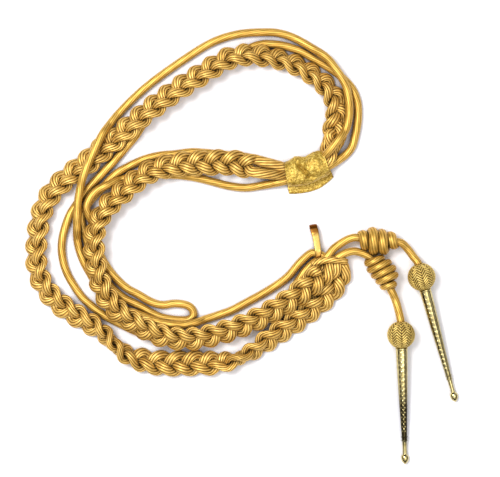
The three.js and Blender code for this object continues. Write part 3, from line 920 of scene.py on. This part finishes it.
def woundKnot(name, look, seed):
    cord = {**knotLook, "width": look["width"], "height": look["height"]}
    start, end = np.array(look["start"]), np.array(look["end"])
    way = unit(end - start)
    left = unit(np.cross(up, way))
    turns = np.linspace(0, look["turns"], look["turns"] * pointsPerTurn)
    outline = np.array(look["outline"])
    # its ends start and finish underneath, tucked against the tag cord
    tucked = np.minimum(1, np.minimum(turns, look["turns"] - turns) / tuckTurns)
    radius = np.interp(turns, outline[:, 0], outline[:, 1]) - look["height"] / 2
    radius = radius * (tuckedRadius + (1 - tuckedRadius) * tucked)
    shift = np.interp(turns, outline[:, 0], outline[:, 2])
    angle = look["hand"] * 2 * math.pi * turns - math.pi / 2
    sideways = radius * np.cos(angle)
    first, last = look["span"]
    along = first + (last - first) * turns / look["turns"] + look["lean"] * sideways
    line = start + way * along[:, None]
    line = line + left * (sideways + shift)[:, None] + up * (radius * np.sin(angle))[:, None]
    line[:, 2] = np.maximum(line[:, 2], look["height"] / 2 + clearance)
    ups = left * np.cos(angle)[:, None] + up * np.sin(angle)[:, None]
    piece, _ = sweepCord(f"{name}_wire", line, ups, cord, cordMaterial, seed)
    dress(piece, "cord", name)


woundKnot("upper_knot", upperKnotLook, 7)
woundKnot("lower_knot", lowerKnotLook, 8)
print("stage: binding and knots are wound")


# Shoulder tab: a sleeve of gold lace, crumpled where it is sewn down over the cords

sleeveLook = {
    "around": 140,
    "along": 84,
    "thickness": 0.9,
    "squareness": 2.3,  # 2 is an oval section, and more is nearer a box
    "bottom": 1.35,
    "top": 14.9,
    "crumples": [(8, 1.1, 3.1), (3.6, 0.5, 7.7), (1.6, 0.14, 11.3)],  # size, depth and place of the noise
    "creases": [  # from, to, depth and width in mm
        ((42.5, 60.7), (49.8, 51.7), 2.6, 1.3),
        ((38.8, 64.5), (41.8, 60.0), 1.0, 1.0),
        ((46.0, 66.5), (44.6, 60.0), 1.3, 1.8),
        ((49.8, 51.7), (58.5, 50.5), 0.9, 1.3),
    ],
    "puffs": [((54.5, 63.5), 5.5, 0.9), ((53.5, 56.0), 5.0, 0.7), ((38.5, 53.0), 6.0, 0.6)],
    # share of the length, mm that the outline stands out on each side
    "leftEdge": [
        *((0, -1.8), (0.12, -0.2), (0.28, 2.2), (0.42, 1.5)),
        *((0.55, 0.5), (0.78, 1.7), (0.92, 0.8), (1, -1.6)),
    ],
    "rightEdge": [(0, -0.9), (0.5, -1.2), (0.8, -0.4), (1, 0)],
    "startSlant": (-0.8, -0.2),  # mm back from the square end, and more for each mm to the left
    "endSlant": 0.33,
    "lean": 1.3,  # how much more its folds push up than sideways
    "upperFrom": 0.35,  # how far below its middle the folds fade out, as a share of its half height
    "crumpleMean": 0.35,
    "crumpleSharpness": 1.5,
}


def slanted(share, across, look):
    # the tab's cut ends aren't square to it
    back, perMm = look["startSlant"]
    shift = (back + perMm * across) * (1 - share) ** 2 + look["endSlant"] * across * share**2
    return share + shift / tabLook["length"]


def foldHeight(place, look):
    # puffs and creases of the sleeve's upper side at a place of the table
    height = 0
    for (x, y), size, rise in look["puffs"]:
        height += rise * math.exp(-((place[0] - x) ** 2 + (place[1] - y) ** 2) / size**2)
    for start, end, depth, width in look["creases"]:
        ahead = Vector(end) - Vector(start)
        off = Vector(place) - Vector(start)
        along = min(1, max(0, off.dot(ahead) / ahead.length_squared))
        gap = (off - ahead * along).length
        height -= depth * math.exp(-((gap / width) ** 2))
    return height


def makeTab(look):
    around, along = look["around"], look["along"]
    middleHeight = (look["top"] + look["bottom"]) / 2
    halfHeight = (look["top"] - look["bottom"]) / 2
    power = 2 / look["squareness"]
    outer, inner = [], []
    for i in range(along):
        share = i / (along - 1)
        halfWidth = tabLook["width"] / 2 * between(tabLook["widthShares"], share)
        toLeft = halfWidth + between(look["leftEdge"], share)
        toRight = halfWidth + between(look["rightEdge"], share)
        for j in range(around):
            angle = 2 * math.pi * (j / around - 0.25)
            u = math.copysign(abs(math.cos(angle)) ** power, math.cos(angle))
            v = math.copysign(abs(math.sin(angle)) ** power, math.sin(angle))
            across = u * (toLeft if u > 0 else toRight)
            place = inTab(slanted(share, across, look), across)
            height = middleHeight + halfHeight * v
            outward = Vector((math.cos(angle), math.sin(angle) * look["lean"])).normalized()
            upper = min(1, max(0, v + look["upperFrom"]))
            push = foldHeight(place, look) * upper
            for size, depth, seed in look["crumples"]:
                fold = noise.noise(Vector((place[0] / size, place[1] / size, height / size + seed)))
                push += depth * (look["crumpleMean"] - look["crumpleSharpness"] * abs(fold)) * upper
            for rows, extra in ((outer, push), (inner, push - look["thickness"])):
                shifted = inTab(slanted(share, across, look), across + outward.x * extra)
                rows.append([*shifted, max(look["bottom"] - 0.1, height + outward.y * extra)])
    count = around * along
    faces = [face[::-1] for face in ringFaces(along, around)]
    faces += ringFaces(along, around, count)
    last = around * (along - 1)
    for j in range(around):
        k = (j + 1) % around
        faces.append((k, j, count + j, count + k))
        faces.append((last + j, last + k, count + last + k, count + last + j))
    piece = meshObject("shoulder_tab_lace", toFrame(outer + inner), faces, laceMaterial)
    dress(piece, "lace", "shoulder_tab")


# Backing: the hemmed band of the same lace under the tab, which shows along its lower edge

backingLook = {
    "across": 56,
    "along": 84,
    "thickness": 1.2,
    "outerEdge": [(0, -14.8), (0.3, -15.2), (0.5, -15.4), (0.7, -14.9), (0.88, -13.6), (1, -12.6)],
    "innerEdge": 6,
    "hems": [(0.9, 0.4, 0.35), (2.9, 0.45, 0.3)],  # distance from the edge, half width, height, in mm
    "wave": 0.25,
    "waves": 9,
    "crowding": 1.6,  # how much closer its rows of points are near the outer edge
    "edgeFall": 0.4,  # mm over which it thins to its edge
    "startSlant": (-0.6, -0.17),
    "endSlant": 0.15,
}


def makeBacking(look):
    across, along = look["across"], look["along"]
    upper, lower = [], []
    for i in range(along):
        share = i / (along - 1)
        edge = between(look["outerEdge"], share)
        edge += look["wave"] * noise.noise(Vector((share * look["waves"], 0.3, 5.2)))
        for j in range(across):
            # more rows of points near the outer edge, where it shows
            inward = (look["innerEdge"] - edge) * (j / (across - 1)) ** look["crowding"]
            place = inTab(slanted(share, edge + inward, look), edge + inward)
            lift = look["wave"] * (1 + noise.noise(Vector((place[0] / 4, place[1] / 4, 2.6)))) / 2
            for gap, half, height in look["hems"]:
                lift += height * math.exp(-(((inward - gap) / half) ** 2))
            fall = min(1, inward / look["edgeFall"])
            lift *= fall
            upper.append([*place, look["thickness"] + lift * fall])
            lower.append([*place, lowest])
    count = across * along
    faces = ringFaces(along, across, 0, closed=False)
    faces += [face[::-1] for face in ringFaces(along, across, count, closed=False)]
    last = across * (along - 1)
    for j in range(across - 1):
        faces.append((j, j + 1, count + j + 1, count + j))
        faces.append((last + j + 1, last + j, count + last + j, count + last + j + 1))
    side = across - 1
    for i in range(along - 1):
        here, ahead = i * across, (i + 1) * across
        faces.append((ahead, here, count + here, count + ahead))
        faces.append((here + side, ahead + side, count + ahead + side, count + here + side))
    piece = meshObject("tab_backing_lace", toFrame(upper + lower), faces, laceMaterial)
    dress(piece, "lace", "tab_backing")


makeTab(sleeveLook)
makeBacking(backingLook)
print("stage: tab and backing are sewn")


# Balls and tags: each tag lies from its ball's middle, tip on the table

ballLook = {
    "diameter": 21,
    "around": 256,
    "rings": 120,
    "stitch": 2.2,  # mm between the slanting threads
    "columns": 8,  # the slant turns over from each column to the next
    "slant": 0.9,
    "relief": 0.75,
    "seamDepth": 0.4,
    "seamWidth": 0.3,  # mm
    "dimpleDepth": 0.5,  # mm, where the cord goes in
    "dimpleSpread": 0.3,
}
tagLook = {
    "length": 88,
    "topDiameter": 9.2,
    "acornDiameter": 5.9,
    "gap": 0.3,  # mm between a ball's flat and its tag
    "sides": 72,
    "step": 0.42,
    # share of the length, share of the top diameter
    "body": [(0, 0.9), (0.004, 1.02), (0.012, 1.02), (0.016, 0.97), (0.2, 0.87), (0.45, 0.7), (0.7, 0.5)],
    "neck": [(0.76, 0.44), (0.762, 0.56), (0.768, 0.56), (0.77, 0.44), (0.79, 0.42), (0.793, 0.5)],
    "stem": [(0.799, 0.5), (0.802, 0.38), (0.86, 0.34), (0.914, 0.33), (0.917, 0.4)],
    # share of the length, share of the acorn's diameter
    "acorn": [
        *((0.92, 0.66), (0.928, 0.9), (0.94, 1), (0.956, 0.99)),
        *((0.97, 0.86), (0.984, 0.6), (0.993, 0.36)),
    ],
    "acornRest": 0.925,  # share of the length at which the acorn touches the table
    "tip": (0.15, 0.5),  # mm short of the full length, and the radius there
    "ornamentFrom": 2.4,  # mm
    "ornamentTo": 0.72,  # share of the length
    "beadSpacing": 3.6,
    "beadSize": 0.52,
    "beadHeight": 0.36,
    "leafOffset": 0.52,  # radians from the top to the small leaves, and below to the two graved lines
    "leafSize": 0.42,
    "leafHeight": 0.22,
    "lineOffset": 0.84,
    "lineWidth": 0.24,
    "lineDepth": 0.16,
}
# painted dark reflection: share of the tag's length, and its depth between the ornaments
upperBall = {
    "centre": (134, -23.2),
    "heading": -1.3,
    "turned": 0.42,
    "paintedDarkReflection": [(0, 0.1), (0.25, 0.35), (0.6, 0.5), (0.78, 0.5), (0.84, 0.2), (1, 0.1)],
}
lowerBall = {
    "centre": (118.7, -66.5),
    "heading": -1.535,
    "turned": 0.12,
    "paintedDarkReflection": [(0, 0.1), (0.3, 0.35), (0.42, 0.65), (0.5, 0.95), (0.79, 0.95), (0.84, 0.3), (1, 0.1)],
}


def ballFrame(ball):
    # centre, the tag's way, its left and the direction that its ornament faces
    radius = ballLook["diameter"] / 2
    flat = math.sqrt(radius**2 - (tagLook["topDiameter"] / 2) ** 2)
    first = flat + tagLook["gap"]
    # the tag slopes down from the ball's middle until its acorn touches the table
    reach = first + tagLook["acornRest"] * tagLook["length"]
    slope = math.asin((radius - tagLook["acornDiameter"] / 2) / reach)
    heading = ball["heading"]
    level = math.cos(slope)
    way = np.array([math.cos(heading) * level, math.sin(heading) * level, -math.sin(slope)])
    left = unit(np.cross(up, way))
    centre = np.array([*ball["centre"], radius])
    return centre, way, left, np.cross(way, left), first


def makeBall(name, ball):
    look = ballLook
    centre, way, left, top, first = ballFrame(ball)
    radius = look["diameter"] / 2
    around, rings = look["around"], look["rings"]
    polar = np.linspace(0.02, math.pi - 0.02, rings)[:, None]
    angle = 2 * math.pi * np.arange(around)[None, :] / around
    column = angle * look["columns"] / (2 * math.pi)
    # mm round from the middle of the column, always towards its edges, so that the slant mirrors
    offEdge = np.abs((column % 1) - 0.5) * 2 * math.pi * radius / look["columns"]
    threads = (polar * radius + look["slant"] * offEdge * np.sin(polar)) / look["stitch"]
    groove = 1 - np.abs(np.sin(math.pi * threads))
    halfColumn = math.pi * radius / look["columns"]
    seam = look["seamDepth"] * np.exp(-(((halfColumn - offEdge) / look["seamWidth"]) ** 2))
    groove = np.clip(groove + seam, 0, 1)
    dimple = look["dimpleDepth"] * np.exp(-(((polar - math.pi) / look["dimpleSpread"]) ** 2))
    reach = radius - look["relief"] * groove - dimple
    reach = np.minimum(reach, (first - tagLook["gap"]) / np.maximum(np.cos(polar), 0.2))
    places = centre + (
        way * (reach * np.cos(polar))[:, :, None]
        + left * (reach * np.sin(polar) * np.cos(angle))[:, :, None]
        + top * (reach * np.sin(polar) * np.sin(angle))[:, :, None]
    )
    places = places.reshape(-1, 3)
    ends = np.array([centre + way * (first - tagLook["gap"]), centre - way * (radius - 0.5)])
    faces = tubeFaces(rings, around)
    places = np.vstack([places, ends])
    places[:, 2] = np.maximum(places[:, 2], lowest)
    depth = np.r_[groove.ravel(), 0.5, 0.5]
    piece = meshObject(f"{name}_knit", toFrame(places), faces, knitMaterial, {"groove": depth})
    dress(piece, "ball", name)


def makeTag(name, ball):
    look = tagLook
    centre, way, left, top, first = ballFrame(ball)
    shaft = look["body"] + look["neck"] + look["stem"]
    outline = [(s * look["length"], w * look["topDiameter"] / 2) for s, w in shaft]
    outline += [(s * look["length"], w * look["acornDiameter"] / 2) for s, w in look["acorn"]]
    tipGap, tipRadius = look["tip"]
    outline = np.array([*outline, (look["length"] - tipGap, tipRadius)])
    at = np.unique(np.r_[np.arange(0, look["length"], look["step"]), outline[:, 0]])
    at = at[at <= outline[-1, 0]]
    radius = np.interp(at, outline[:, 0], outline[:, 1])[:, None]
    angle = 2 * math.pi * np.arange(look["sides"])[None, :] / look["sides"]
    offTop = (angle + math.pi) % (2 * math.pi) - math.pi
    arc = radius * offTop
    ornamented = ((at > look["ornamentFrom"]) & (at < look["ornamentTo"] * look["length"]))[:, None]
    fromBead = (at[:, None] + look["beadSpacing"] / 2) % look["beadSpacing"] - look["beadSpacing"] / 2
    bead = np.exp(-((fromBead**2 + arc**2) / look["beadSize"] ** 2))
    fromLeaf = look["beadSpacing"] / 2 - np.abs(fromBead)
    leafArc = np.abs(arc) - look["leafOffset"] * radius
    leaf = np.exp(-((fromLeaf**2 + leafArc**2) / look["leafSize"] ** 2))
    line = np.exp(-(((np.abs(arc) - look["lineOffset"] * radius) / look["lineWidth"]) ** 2))
    relief = look["beadHeight"] * bead + look["leafHeight"] * leaf - look["lineDepth"] * line
    relief = ornamented * relief
    reach = radius + relief
    turned = angle - ball["turned"]
    places = (
        centre
        + way * (first + at)[:, None, None]
        + left * (reach * np.sin(turned))[:, :, None]
        + top * (reach * np.cos(turned))[:, :, None]
    ).reshape(-1, 3)
    places = np.vstack([places, centre + way * first, centre + way * (first + look["length"])])
    places[:, 2] = np.maximum(places[:, 2], lowest)
    faces = tubeFaces(len(at), look["sides"])
    plain = 1 - np.clip(bead + leaf, 0, 1) * ornamented
    # painted dark reflection along the tag, kept off its beads and leaves
    paintedDarkReflection = np.r_[(plain * between(ball["paintedDarkReflection"], at / look["length"])[:, None]).ravel(), 0, 0]
    piece = meshObject(f"{name}_brass", toFrame(places), faces, tagMaterial, {"paintedDarkReflection": paintedDarkReflection})
    dress(piece, "brass", name)


makeBall("upper_ball", upperBall)
makeTag("upper_tag", upperBall)
makeBall("lower_ball", lowerBall)
makeTag("lower_tag", lowerBall)
print("stage: balls and tags are in place")


# Hook: a brass strip bent back under itself, its foot under the binding

hookLook = {
    "foot": (57, -9),
    "heading": 1.74,
    "length": 25.6,
    "gap": 4.6,
    "thickness": 1.2,
    "returnLength": 16,
    "middleHeight": 4.3,
    "bow": 0.75,  # mm that the strip bows to the right halfway
    # share of the length, then mm up, depth of the painted dark reflection and mm across
    "dips": [(0, -0.9), (0.22, 0), (0.74, -0.1), (0.86, -1.1), (1, -3)],
    "paintedDarkReflection": [(0, 0.9), (0.12, 0.6), (0.22, 0), (0.62, 0), (0.75, 0.8), (1, 1)],
    "widths": [(0, 4.4), (0.3, 4.8), (0.55, 5.0), (0.8, 5.8), (1, 6.0)],
    "steps": (46, 22, 28),  # points along its top, its bend and its underside
    "sides": 32,
    "squareness": 3,
}


def makeHook(look):
    turn = (look["gap"] + look["thickness"]) / 2
    bend = look["length"] - look["gap"] / 2 - look["thickness"]
    topSteps, bendSteps, returnSteps = look["steps"]
    upper = [(d, turn) for d in np.linspace(0, bend, topSteps)]
    turned = np.linspace(0.08, math.pi - 0.08, bendSteps)
    arc = [(bend + turn * math.sin(a), turn * math.cos(a)) for a in turned]
    lower = [(d, -turn) for d in np.linspace(bend, bend - look["returnLength"], returnSteps)]
    side = np.array(upper + arc + lower)
    upperShare = np.clip(0.5 + side[:, 1] / (2 * turn), 0, 1)
    side[:, 1] += upperShare * between(look["dips"], side[:, 0] / look["length"])
    way = np.array([math.cos(look["heading"]), math.sin(look["heading"]), 0])
    right = np.array([way[1], -way[0], 0])
    share = np.clip(side[:, 0] / look["length"], 0, 1)
    shift = look["bow"] * np.sin(math.pi * share)
    line = np.array([*look["foot"], look["middleHeight"]]) + way * side[:, :1] + up * side[:, 1:]
    line = line + right * shift[:, None]
    along = unit(np.gradient(side, axis=0))
    normal = up * along[:, :1] - way * along[:, 1:]
    half = between(look["widths"], share) / 2
    angle = 2 * math.pi * np.arange(look["sides"]) / look["sides"]
    power = 2 / look["squareness"]
    u = np.sign(np.cos(angle)) * np.abs(np.cos(angle)) ** power
    v = np.sign(np.sin(angle)) * np.abs(np.sin(angle)) ** power
    places = (
        line[:, None, :]
        + right * (half[:, None] * u)[:, :, None]
        + normal[:, None, :] * (look["thickness"] / 2 * v)[None, :, None]
    ).reshape(-1, 3)
    sides, rings = look["sides"], len(line)
    places = np.vstack([places, line[0], line[-1]])
    faces = tubeFaces(rings, sides)
    # painted dark reflection at the hook's two ends
    paintedDarkReflection = np.r_[np.repeat(between(look["paintedDarkReflection"], share), sides), 0, 0]
    piece = meshObject("hook_brass", toFrame(places), faces, hookMaterial, {"paintedDarkReflection": paintedDarkReflection})
    dress(piece, "brass", "hook")


makeHook(hookLook)
print("stage: hook is in place")


# Table and light

stageLook = {
    "table": "#F9F8FA",
    # gap: painted shadow colour for the table between close cords
    "gap": "#4A2A12",
    "gapShadeReach": 9,  # mm
    "gapShadeClean": 0.6,  # how open the table must be to show its own colour
    "tableSize": 6,
    "horizon": "#1E1916",
    "zenith": "#F3F4F8",
    "horizonRise": 0.35,  # sine of the height up to which the room is dark
    "ceilingRise": 0.9,  # and from which it is as bright as its ceiling
    "roomStrength": 1.3,
    "keyPlace": (-0.7, 0.45, 1.85),
    "keySize": 0.7,
    "keyPower": 30,
    "fillPlace": (0.6, -0.5, 1.9),
    "fillSize": 0.9,
    "fillPower": 6,
}


def makeTable(look):
    floor = bpy.data.objects.new("tableTop", bpy.data.meshes.new("tableTop"))
    shape = bmesh.new()
    bmesh.ops.create_grid(shape, x_segments=2, y_segments=2, size=look["tableSize"] / 2)
    shape.to_mesh(floor.data)
    shape.free()
    material, tree = newMaterial("matteTable")
    speck = addNode(tree, "ShaderNodeTexNoise", inputs={"Scale": 300, "Detail": 2})
    bump = addNode(
        tree,
        "ShaderNodeBump",
        inputs={"Strength": 0.05, "Distance": 0.1 * mm},
        links={"Height": speck.outputs["Fac"]},
    )
    paper = addNode(tree, "ShaderNodeRGB")
    paper.outputs["Color"].default_value = hexColour(look["table"])
    # painted shadow: the table turns brown where close cords crowd it
    shaded = paintCreviceShade(tree, paper.outputs["Color"], look["gap"], look["gapShadeReach"], look["gapShadeClean"])
    shader = addNode(
        tree,
        "ShaderNodeBsdfPrincipled",
        inputs={"Roughness": 0.9, "Specular IOR Level": 0.1},
        links={"Base Color": shaded.outputs[2], "Normal": bump.outputs["Normal"]},
    )
    closeMaterial(tree, shader)
    floor.data.materials.append(material)
    scene.collection.objects.link(floor)


def makeRoom(look):
    # a pale ceiling that darkens towards the horizon, so that the metal's sides have something to reflect
    world = bpy.data.worlds.new("studioRoom")
    world.use_nodes = True
    tree = world.node_tree
    tree.nodes.clear()
    direction = addNode(tree, "ShaderNodeTexCoord")
    parts = addNode(tree, "ShaderNodeSeparateXYZ", links={"Vector": direction.outputs["Generated"]})
    colour = addNode(
        tree,
        "ShaderNodeValToRGB",
        links={"Fac": parts.outputs["Z"]},
        stops=[(look["horizonRise"], look["horizon"]), (look["ceilingRise"], look["zenith"])],
    )
    background = addNode(
        tree,
        "ShaderNodeBackground",
        inputs={"Strength": look["roomStrength"]},
        links={"Color": colour.outputs["Color"]},
    )
    output = addNode(tree, "ShaderNodeOutputWorld")
    tree.links.new(background.outputs["Background"], output.inputs["Surface"])
    scene.world = world
    scene.view_settings.view_transform = "Standard"


def addSoftbox(name, place, size, power):
    data = bpy.data.lights.new(name, "AREA")
    data.size = size
    data.energy = power
    lamp = bpy.data.objects.new(name, data)
    lamp.location = place
    lamp.rotation_mode = "QUATERNION"
    lamp.rotation_quaternion = Vector(place).to_track_quat("Z", "Y")
    scene.collection.objects.link(lamp)


makeTable(stageLook)
makeRoom(stageLook)
addSoftbox("keySoftbox", stageLook["keyPlace"], stageLook["keySize"], stageLook["keyPower"])
addSoftbox("fillSoftbox", stageLook["fillPlace"], stageLook["fillSize"], stageLook["fillPower"])
print("stage: table, room and lights are set")
